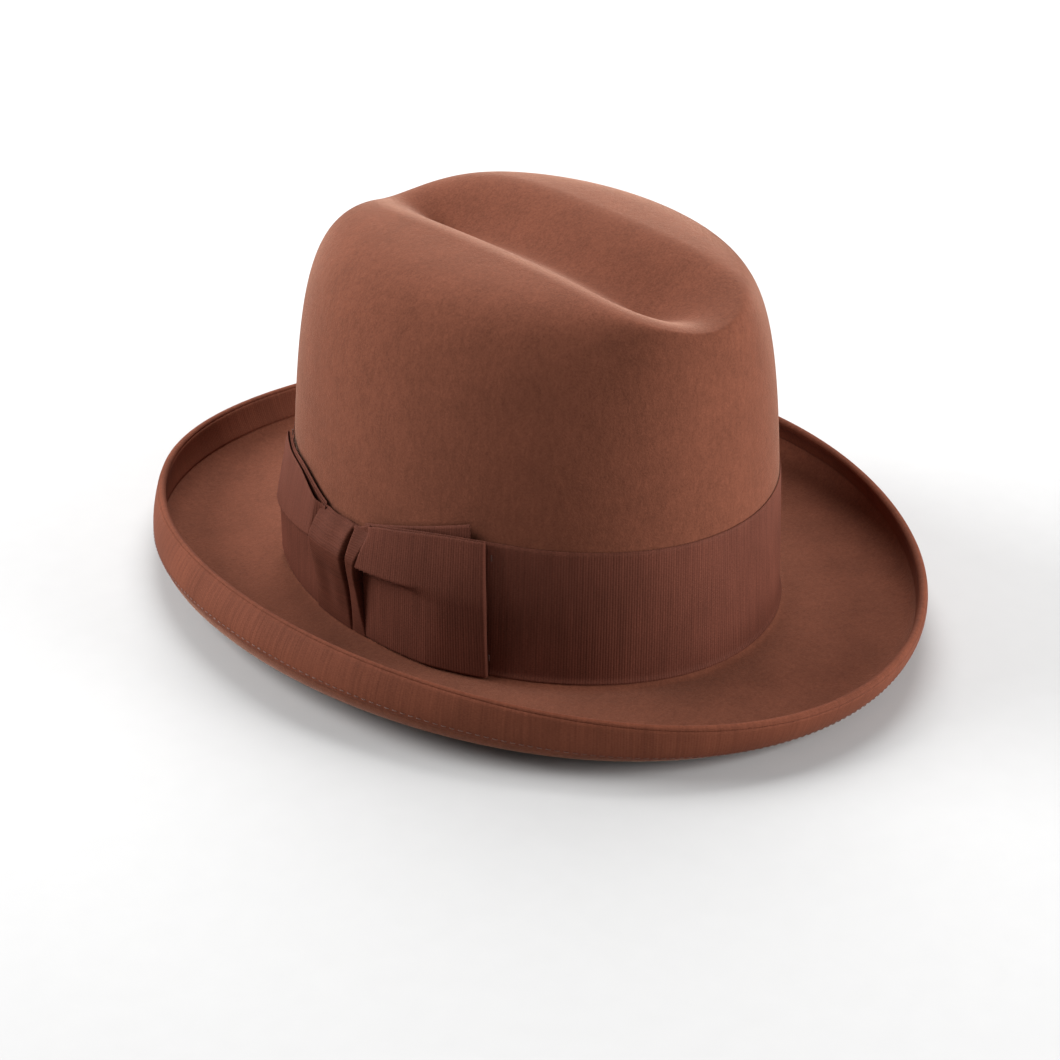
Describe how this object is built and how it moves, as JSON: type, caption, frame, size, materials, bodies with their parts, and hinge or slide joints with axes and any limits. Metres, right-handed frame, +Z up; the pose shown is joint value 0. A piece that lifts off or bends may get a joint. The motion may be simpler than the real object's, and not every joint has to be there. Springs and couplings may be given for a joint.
{
  "type": "homburg hat",
  "caption": "Felt homburg with a gutter dent, rolled ribbon-bound brim, grosgrain band with a flat side bow, sweatband and lining.",
  "frame": {"origin": "middle of the brim's plan, at the level of the surface that the brim rests on", "axes": "+X to the wearer's left, +Y to the back of the hat, +Z up through the crown"},
  "size_m": [0.273, 0.3318, 0.1434],
  "materials": {
    "felt": "matt fur felt with a fine nap",
    "ribbon": "ribbed grosgrain with a low sheen",
    "ribbon_thread": "matt sewing thread",
    "leather": "smooth semi-matt sheepskin",
    "reed": "satin",
    "leather_thread": "waxed thread",
    "satin_ribbon": "narrow satin ribbon",
    "label": "plain blank tab",
    "satin": "satin weave with a soft sheen",
    "clear_film": "clear flexible film"
  },
  "bodies": {
    "root": {"felt_body": "felt", "brim_binding": "ribbon", "binding_stitches": "ribbon_thread", "hat_band": "ribbon", "bow_knot": "ribbon", "bow_rear_loop": "ribbon", "bow_rear_underlay": "ribbon", "bow_front_loop": "ribbon", "bow_front_underlay": "ribbon", "bow_tacks": "ribbon_thread", "sweatband": "leather", "sweatband_reed": "reed", "sweatband_stitches": "leather_thread", "sweatband_bow": "satin_ribbon", "size_label": "label", "lining_side": "satin", "lining_tip": "satin", "tip_shield": "clear_film"}
  },
  "joints": []
}
